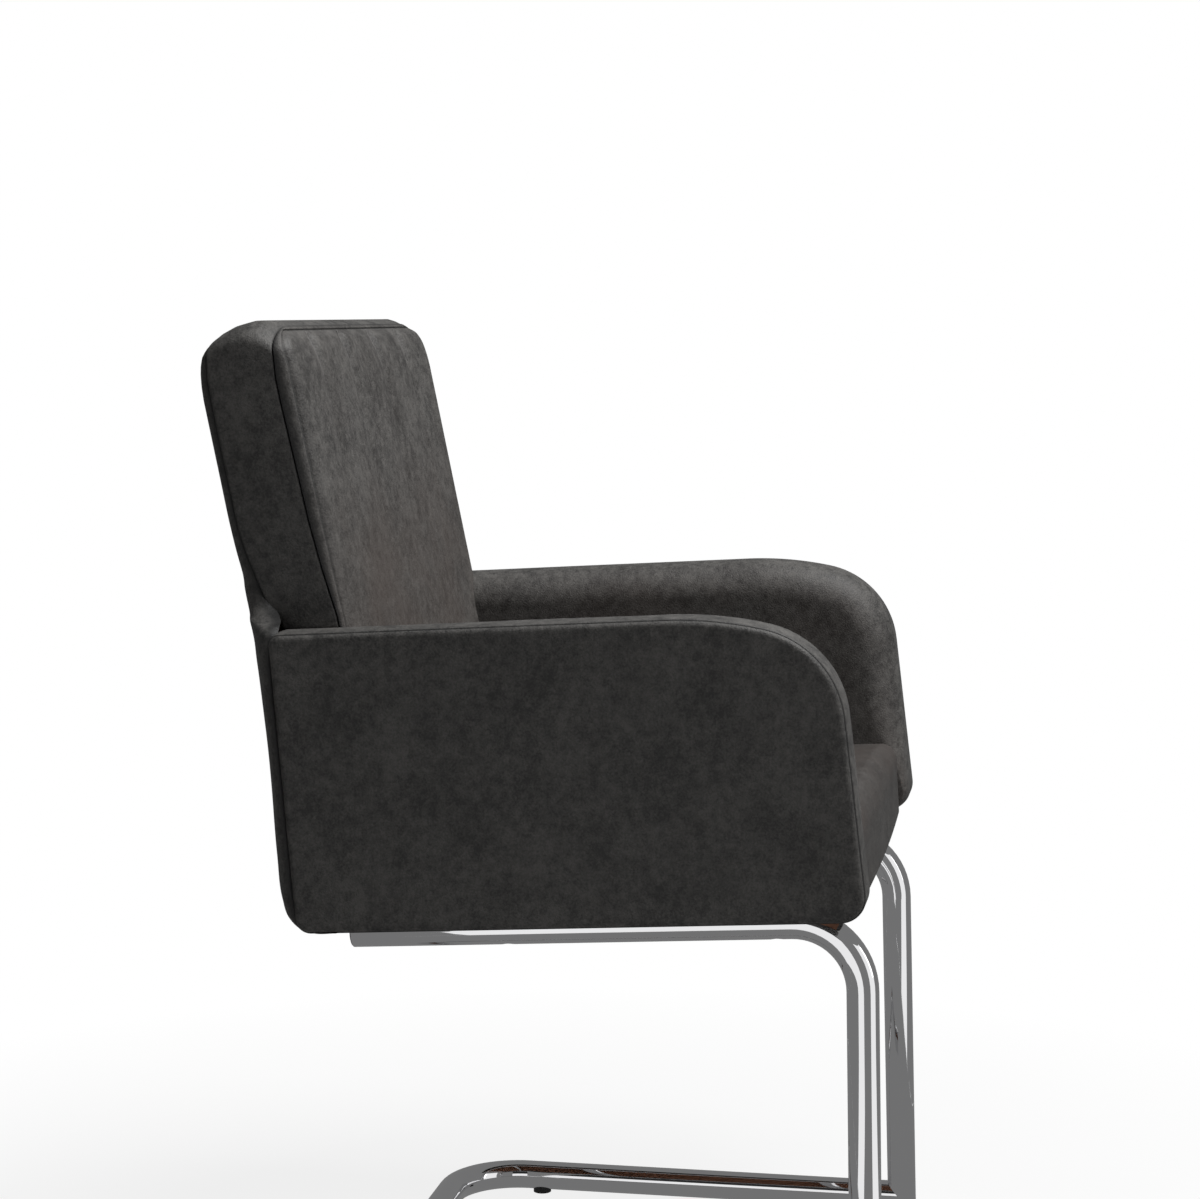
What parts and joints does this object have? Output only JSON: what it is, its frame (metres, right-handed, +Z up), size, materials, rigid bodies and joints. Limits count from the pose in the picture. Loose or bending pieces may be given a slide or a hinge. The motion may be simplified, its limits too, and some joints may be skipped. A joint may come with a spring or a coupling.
{
  "type": "cantilever chair",
  "caption": "Cantilever dining armchair: padded leather shell with a channelled back on a chromed round-tube frame.",
  "frame": {"origin": "on the floor, under the middle of the chair's bounding box", "axes": "+Z up, -Y towards the front of the chair, +X to the sitter's left"},
  "size_m": [0.58, 0.5935, 0.8949],
  "materials": {
    "chrome": "bright polished chrome plate",
    "leather": "anthracite aged suede-like leather with mottled patches and a soft sheen",
    "underside": "brown fibre sheet",
    "plywood": "raw plywood",
    "beech": "raw beech",
    "foam": "open-cell foam, pale yellow",
    "webbing": "woven elastic webbing",
    "plastic": "black moulded plastic",
    "zinc_steel": "zinc plated steel"
  },
  "bodies": {
    "root": {"arm_band_left": "leather", "arm_band_right": "leather", "arm_board_left": "plywood", "arm_board_right": "plywood", "arm_dowels": "beech", "arm_inner_foam_left": "foam", "arm_inner_foam_right": "foam", "arm_inner_panel_left": "leather", "arm_inner_panel_right": "leather", "arm_outer_foam_left": "foam", "arm_outer_foam_right": "foam", "arm_outer_panel_left": "leather", "arm_outer_panel_right": "leather", "back_bottom_rail": "beech", "back_foam": "foam", "back_front_cover": "leather", "back_gusset": "leather", "back_rear_pad": "foam", "back_stile_left": "beech", "back_stile_right": "beech", "back_top_rail": "beech", "back_webbing": "webbing", "base_board": "plywood", "base_nuts": "zinc_steel", "bottom_cover": "underside", "floor_loop": "chrome", "front_cross_tube": "chrome", "front_seat_rail": "beech", "glide_front_left": "plastic", "glide_front_right": "plastic", "glide_rear_left": "plastic", "glide_rear_right": "plastic", "rail_end_plugs": "plastic", "rear_cover": "leather", "rear_cross_tube": "chrome", "rear_pad": "foam", "rear_seat_rail": "beech", "saddle_washers": "zinc_steel", "seat_bolts": "zinc_steel", "seat_cover": "leather", "seat_foam": "foam", "seat_front_foam": "foam", "seat_webbing": "webbing", "side_seat_rail_left": "beech", "side_seat_rail_right": "beech", "side_tube_left": "chrome", "side_tube_right": "chrome"}
  },
  "joints": []
}
